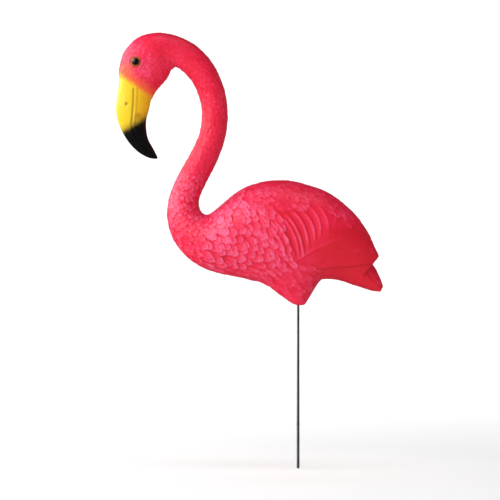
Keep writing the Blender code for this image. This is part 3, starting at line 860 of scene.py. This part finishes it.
def bird_finish():
    """Pink plastic with painted highlights and shade, and a sprayed bill and eyes with soft sprayed edges."""
    made = bpy.data.materials.new("sprayed_pink_plastic")
    made.use_nodes = True
    tree = made.node_tree
    n = Nodes(tree)
    shader = tree.nodes["Principled BSDF"]
    place = n.add("ShaderNodeTexCoord").outputs["Object"]
    x, _, z = n.add("ShaderNodeSeparateXYZ", {0: place}).outputs

    def attribute(name):
        return n.add("ShaderNodeAttribute", attribute_name=name).outputs["Fac"]

    def noise(scale, detail):
        made = n.add("ShaderNodeTexNoise", {"Vector": place, "Scale": scale, "Detail": detail})
        return n.math("SUBTRACT", made.outputs["Fac"], 0.5)

    def from_place(centre):
        """How far it is to a place seen from the side."""
        away_x = n.math("SUBTRACT", x, centre[0] * SHARE)
        away_z = n.math("SUBTRACT", z, centre[1] * SHARE + FOOT_HEIGHT)
        squares = n.math("ADD", n.math("POWER", away_x, 2.0), n.math("POWER", away_z, 2.0))
        return n.math("SQRT", squares)

    def share_of(value, share):
        return n.math("MULTIPLY", value, share)

    def painted(under, name, measure, paint):
        """A colour with one of the paints over it."""
        ends, whole, share = PAINTS[name]
        return n.mix(share_of(n.ramp(measure, ends, whole), share), under, paint)

    relief, bill, tip, mouth, down = (attribute(name) for name in ("relief", "bill", "tip", "mouth", "down"))
    mottle, speckle, sheen = noise(*MOTTLE), noise(*SPECKLE), noise(*SHEEN)
    grain = grains(n, place, GRAIN_SIZE)
    # How pale the pink is: painted highlight where raised and painted shade in hollows, with random mottle
    raised = n.math("MULTIPLY_ADD", relief, HIGHLIGHT_AND_SHADE_BY_RELIEF, PALE_AT_ALL)
    raised = n.math("MULTIPLY_ADD", attribute("rim"), HIGHLIGHT_AT_RIMS, raised)
    raised = n.math("MULTIPLY_ADD", mottle, PALE_IN_MOTTLE, raised)
    # Painted highlight on the tops of the grains and painted shade between them
    grain_highlights = n.math("MULTIPLY", n.math("SUBTRACT", grain, GRAIN_MIDDLE), down)
    raised = n.math("MULTIPLY_ADD", grain_highlights, HIGHLIGHT_ON_GRAINS, raised)
    raised = n.math("MULTIPLY_ADD", speckle, PALE_IN_SPECKLE, raised)
    # Painted sheen on the parts that face the light from the left
    for centre, ends, whole in PAINTED_SHEEN_PLACES:
        raised = n.math("ADD", raised, share_of(n.ramp(from_place(centre), ends, whole), PAINTED_SHEEN))
    # Painted shade on the rear of the wing and the tail
    raised = n.math("SUBTRACT", raised, share_of(n.ramp(from_place(PAINTED_SHADE_PLACE[0]), *PAINTED_SHADE_PLACE[1:]), PAINTED_SHADE))
    pink = n.mix(n.ramp(raised, *PALER), PINK, PINK_HIGHLIT_AND_PALE)
    pink = n.mix(n.ramp(raised, *REDDER), pink, PINK_SHADED_AND_DEEP)

    spray = n.math("MULTIPLY_ADD", speckle, SPRAY_STRAYS, bill)
    colour = painted(pink, "lore", from_place(LORE_PLACE), ORANGE_MIST)
    colour = painted(colour, "mist", spray, ORANGE_MIST)
    from_front = n.math("SUBTRACT", x, (EYE[0] - GOLD_BEFORE_EYE) * SHARE)
    golden = painted(BILL_YELLOW, "gold", from_front, BILL_GOLD)
    golden = painted(golden, "brown patch", from_place(BROWN_PATCH_PLACE), BILL_BROWN)
    golden = painted(golden, "gutter", attribute("gutter"), BILL_BROWN)
    golden = painted(golden, "mouth", mouth, BILL_OLIVE)
    golden = painted(golden, "nostril", from_place(NOSTRIL), BILL_OLIVE)
    colour = painted(colour, "bill", spray, golden)
    black_edge = n.math("MULTIPLY_ADD", speckle, TIP_STRAYS, tip)
    colour = painted(colour, "tip's edge", black_edge, BILL_OLIVE)
    colour = painted(colour, "tip", black_edge, TIP_BLACK)

    from_eye = from_place(EYE)
    for name, paint in (("eye line", EYE_LINE), ("eye ring", EYE_RING), ("pupil", TIP_BLACK)):
        colour = painted(colour, name, from_eye, paint)
    tree.links.new(colour, shader.inputs["Base Color"])

    roughness = n.math("MULTIPLY_ADD", speckle, ROUGHNESS_VARIES, ROUGHNESS)
    on_bill = n.ramp(bill, *BILL_SMOOTHER_OVER)
    roughness = n.math("SUBTRACT", roughness, share_of(on_bill, BILL_SMOOTHER))
    on_eye = n.ramp(from_eye, RING_RADIUS, PUPIL_RADIUS)
    roughness = n.math("SUBTRACT", roughness, share_of(on_eye, EYE_SMOOTHER))
    tree.links.new(n.math("MAXIMUM", roughness, LEAST_ROUGHNESS), shader.inputs["Roughness"])

    aside = n.math("ABSOLUTE", attribute("barb_across"))
    slanted = n.math("MULTIPLY_ADD", attribute("barb_ahead"), BARB_SLANT, aside)
    barbs = n.math("SINE", n.math("MULTIPLY", slanted, BARBS))
    barbs = n.math("MULTIPLY", barbs, n.ramp(relief, *BARBS_WHERE))
    bumps = n.math("MULTIPLY_ADD", barbs, BARB_HEIGHT, sheen)
    bumps = n.math("MULTIPLY_ADD", speckle, SPECKLE_HEIGHT, bumps)
    bumps = n.math("MULTIPLY_ADD", n.math("MULTIPLY", grain, down), GRAIN_BUMP, bumps)
    bump = n.add("ShaderNodeBump", {"Strength": 0.35, "Distance": 0.00018, "Height": bumps})
    tree.links.new(bump.outputs["Normal"], shader.inputs["Normal"])
    shader.inputs["IOR"].default_value = 1.5
    shader.inputs["Specular IOR Level"].default_value = 0.38
    shader.inputs["Subsurface Weight"].default_value = 0.12
    shader.inputs["Subsurface Radius"].default_value = (1.0, 0.25, 0.2)
    shader.inputs["Subsurface Scale"].default_value = 0.003
    return made


# The socket up through the foot, with the wire's clearance
SOCKET_DEPTH = 0.028
SOCKET_CLEARANCE = 0.0003
SOCKET_SIDES = 48
BIRD_SHARP_ANGLE = 60
wire_low, wire_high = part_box("stake")
WIRE_RADIUS = (wire_high[0] - wire_low[0]) / 2


def socket_cutter():
    """A cylinder that bores the socket, crossing the foot so that the mouth is clean."""
    sizes = {"vertices": SOCKET_SIDES, "radius": WIRE_RADIUS + SOCKET_CLEARANCE, "depth": 2 * SOCKET_DEPTH}
    bpy.ops.mesh.primitive_cylinder_add(**sizes, location=(0, 0, FOOT_HEIGHT))
    return bpy.context.object


raw = bpy.data.objects.new("raw_moulding", bird_mesh())
bpy.context.scene.collection.objects.link(raw)
down = raw.modifiers.new("down", "NODES")
down.node_group = down_tree()
set_input(down, "Grain size", GRAIN_SIZE)
set_input(down, "Grain height", GRAIN_HEIGHT)
set_input(down, "Finish", bird_finish())
cutter = socket_cutter()
bore = raw.modifiers.new("socket", "BOOLEAN")
bore.operation = "DIFFERENCE"
bore.object = cutter
bird = bpy.data.objects.new("flamingo_moulding", finished_mesh(raw, "flamingo_moulding"))
bpy.context.scene.collection.objects.link(bird)
for spent in (raw, cutter):
    bpy.data.objects.remove(spent)
bird.data.shade_smooth()
bird.data.set_sharp_from_angle(angle=math.radians(BIRD_SHARP_ANGLE))
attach(bird, "root")
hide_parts("flamingo")


# The stake. A length of drawn steel wire, cut square at both ends with the burr taken off. Its upper end is
# pushed into the bird's socket and the lower end into the ground.

WIRE_SIDES = 32
WIRE_CHAMFER = 0.0003
WIRE_STEPS = 120
WIRE_SHARP_ANGLE = 40
STEEL = (0.36, 0.35, 0.32, 1)
STEEL_BRIGHT = (0.62, 0.61, 0.58, 1)
STEEL_DULL = (0.16, 0.15, 0.13, 1)

# The finish: the scale of its lines each way, of its patches, and the detail in both, where it is bright and
# where it is dull, and how rough it is
LINES_SCALE = (2600.0, 2600.0, 30.0)
LINES_DETAIL = 3.0
PATCHES_SCALE = 90.0
PATCHES_DETAIL = 5.0
BRIGHT_OVER = (0.35, 0.7)
DULL_OVER = (0.50, 0.75)
WIRE_ROUGHNESS = 0.22
WIRE_ROUGHNESS_VARIES = 0.30


def wire_tree():
    """A straight wire along Z, whose ends taper over a small chamfer."""
    tree = bpy.data.node_groups.new("drawn_wire", "GeometryNodeTree")
    for name in ("Length", "Radius", "Chamfer"):
        add_input(tree, name, "NodeSocketFloat")
    add_input(tree, "Finish", "NodeSocketMaterial")
    tree.interface.new_socket("Geometry", in_out="OUTPUT", socket_type="NodeSocketGeometry")
    n = Nodes(tree)
    given = n.add("NodeGroupInput").outputs
    top = n.add("ShaderNodeCombineXYZ", {2: given["Length"]}).outputs[0]
    line = n.add("GeometryNodeCurvePrimitiveLine", {"End": top}).outputs[0]
    line = n.add("GeometryNodeResampleCurve", {"Curve": line, "Count": WIRE_STEPS}).outputs[0]
    height = n.add("ShaderNodeSeparateXYZ", {0: n.add("GeometryNodeInputPosition").outputs[0]}).outputs[2]
    from_end = n.math("MINIMUM", height, n.math("SUBTRACT", given["Length"], height))
    inside = n.math("SUBTRACT", given["Chamfer"], n.math("MINIMUM", from_end, given["Chamfer"]))
    radius = n.math("SUBTRACT", given["Radius"], inside)
    ring = n.add("GeometryNodeCurvePrimitiveCircle", {"Resolution": WIRE_SIDES, "Radius": 1.0}).outputs[0]
    swept = {"Curve": line, "Profile Curve": ring, "Scale": radius, "Fill Caps": True}
    wire = n.add("GeometryNodeCurveToMesh", swept).outputs[0]
    whole = n.add("GeometryNodeRealizeInstances", {"Geometry": wire}).outputs[0]
    done = n.add("GeometryNodeSetMaterial", {"Geometry": whole, "Material": given["Finish"]}).outputs[0]
    n.add("NodeGroupOutput", {"Geometry": done})
    return tree


def wire_finish():
    """Dull drawn steel, with fine lines along it from the die and darker patches."""
    made = bpy.data.materials.new("drawn_steel")
    made.use_nodes = True
    tree = made.node_tree
    n = Nodes(tree)
    shader = tree.nodes["Principled BSDF"]
    place = n.add("ShaderNodeTexCoord").outputs["Object"]
    drawn = n.add("ShaderNodeMapping", {"Vector": place, "Scale": LINES_SCALE}).outputs[0]
    line_noise = {"Vector": drawn, "Scale": 1.0, "Detail": LINES_DETAIL}
    lines = n.add("ShaderNodeTexNoise", line_noise).outputs["Fac"]
    patch_noise = {"Vector": place, "Scale": PATCHES_SCALE, "Detail": PATCHES_DETAIL}
    patches = n.add("ShaderNodeTexNoise", patch_noise).outputs["Fac"]
    colour = n.mix(n.ramp(lines, *BRIGHT_OVER), STEEL, STEEL_BRIGHT)
    colour = n.mix(n.ramp(patches, *DULL_OVER), colour, STEEL_DULL)
    tree.links.new(colour, shader.inputs["Base Color"])
    roughness = n.math("MULTIPLY_ADD", patches, WIRE_ROUGHNESS_VARIES, WIRE_ROUGHNESS)
    tree.links.new(roughness, shader.inputs["Roughness"])
    bump = n.add("ShaderNodeBump", {"Strength": 0.25, "Distance": 0.00005, "Height": lines})
    tree.links.new(bump.outputs["Normal"], shader.inputs["Normal"])
    shader.inputs["Metallic"].default_value = 1.0
    return made


raw = bpy.data.objects.new("raw_wire", bpy.data.meshes.new("raw_wire"))
bpy.context.scene.collection.objects.link(raw)
draw = raw.modifiers.new("draw", "NODES")
draw.node_group = wire_tree()
set_input(draw, "Length", wire_high[2] - wire_low[2])
set_input(draw, "Radius", WIRE_RADIUS)
set_input(draw, "Chamfer", WIRE_CHAMFER)
set_input(draw, "Finish", wire_finish())
wire = bpy.data.objects.new("wire_stake", finished_mesh(raw, "wire_stake"))
bpy.context.scene.collection.objects.link(wire)
bpy.data.objects.remove(raw)
wire.data.shade_smooth()
wire.data.set_sharp_from_angle(angle=math.radians(WIRE_SHARP_ANGLE))
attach(wire, "root")
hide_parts("stake")


# The studio: a white floor that sweeps up all round, a broad lamp from the front left, weaker ones from the
# front and above, a card for the bird's left edges, lamps turned to the walls and even light all round.

FLOOR_RADIUS = 2.3
SWEEP_RADIUS = 4.0
SWEEP_HEIGHT = 5.0
SWEEP_STEPS = 24
SWEEP_SIDES = 96
PAPER_WHITE = (0.96, 0.96, 0.96, 1)
PAPER_ROUGHNESS = 0.9
EVEN_LIGHT = 0.07


def sweep_mesh():
    """The floor and the wall all round it in one curved sheet."""
    bend = [math.radians(90) * k / SWEEP_STEPS for k in range(SWEEP_STEPS + 1)]
    profile = [(FLOOR_RADIUS + SWEEP_RADIUS * math.sin(a), SWEEP_RADIUS * (1 - math.cos(a))) for a in bend]
    profile.append((FLOOR_RADIUS + SWEEP_RADIUS, SWEEP_HEIGHT))
    turns = [math.radians(360) * k / SWEEP_SIDES for k in range(SWEEP_SIDES)]
    vertices = [(r * math.cos(turn), r * math.sin(turn), z) for r, z in profile for turn in turns]
    faces = [tuple(range(SWEEP_SIDES))]
    for level in range(len(profile) - 1):
        low, high = level * SWEEP_SIDES, (level + 1) * SWEEP_SIDES
        for k in range(SWEEP_SIDES):
            after = (k + 1) % SWEEP_SIDES
            faces.append((low + k, high + k, high + after, low + after))
    mesh = bpy.data.meshes.new("studio_floor")
    mesh.from_pydata(vertices, [], faces)
    mesh.shade_smooth()
    return mesh


def paper_finish():
    """Plain white paper."""
    made = bpy.data.materials.new("white_paper")
    made.use_nodes = True
    shader = made.node_tree.nodes["Principled BSDF"]
    shader.inputs["Base Color"].default_value = PAPER_WHITE
    shader.inputs["Roughness"].default_value = PAPER_ROUGHNESS
    return made


floor = bpy.data.objects.new("studio_floor", sweep_mesh())
bpy.context.scene.collection.objects.link(floor)
floor.data.materials.append(paper_finish())
floor.visible_glossy = False

# Each lamp: where it is, what it is aimed at, its breadth, its watts and whether it shines in the plastic
BIRD_MIDDLE = (-0.04, 0.0, 0.24)
LAMPS = [
    ("left_lamp", (-1.7, -1.1, 1.0), BIRD_MIDDLE, 1.3, 27.0, True),
    ("front_lamp", (-0.5, -2.4, 1.2), BIRD_MIDDLE, 1.5, 18.0, False),
    ("top_lamp", (0.2, -0.5, 2.0), BIRD_MIDDLE, 1.2, 7.0, True),
    ("left_card", (-1.6, 0.5, 0.8), BIRD_MIDDLE, 1.2, 18.0, True),
    ("wall_lamp", (0.0, 2.2, 3.0), (0.0, 5.2, 0.4), 3.0, 120.0, False),
    ("near_wall_lamp", (0.0, -2.2, 3.0), (0.0, -5.2, 0.4), 3.0, 36.0, False),
    ("left_wall_lamp", (-2.2, 0.0, 3.0), (-5.2, 0.0, 0.4), 3.0, 36.0, False),
    ("right_wall_lamp", (2.2, 0.0, 3.0), (5.2, 0.0, 0.4), 3.0, 36.0, False),
]
for name, place, aim, breadth, watts, shines in LAMPS:
    lamp = bpy.data.objects.new(name, bpy.data.lights.new(name, "AREA"))
    lamp.data.shape = "SQUARE"
    lamp.data.size = breadth
    lamp.data.energy = watts
    lamp.visible_glossy = shines
    lamp.location = place
    lamp.rotation_euler = (Vector(aim) - lamp.location).to_track_quat("-Z", "Y").to_euler()
    bpy.context.scene.collection.objects.link(lamp)

world = bpy.data.worlds.new("even_light")
world.use_nodes = True
world.node_tree.nodes["Background"].inputs["Color"].default_value = (1, 1, 1, 1)
world.node_tree.nodes["Background"].inputs["Strength"].default_value = EVEN_LIGHT
bpy.context.scene.world = world
bpy.context.scene.view_settings.view_transform = "Standard"

# The camera is level, square to the bird's right side, far enough off for its edges to be as flat as in the
# photograph. The view takes in a square of this width at the wire.
VIEW_WIDTH = 0.440
VIEW_CENTRE = (-0.0423, 0.1921)
CAMERA_DISTANCE = 3.0
SENSOR_WIDTH = 36.0
camera = bpy.data.objects.new("camera", bpy.data.cameras.new("camera"))
camera.data.sensor_width = SENSOR_WIDTH
camera.data.lens = SENSOR_WIDTH * CAMERA_DISTANCE / VIEW_WIDTH
camera.location = (VIEW_CENTRE[0], -CAMERA_DISTANCE, VIEW_CENTRE[1])
camera.rotation_euler = (math.radians(90), 0, 0)
bpy.context.scene.collection.objects.link(camera)
bpy.context.scene.camera = camera
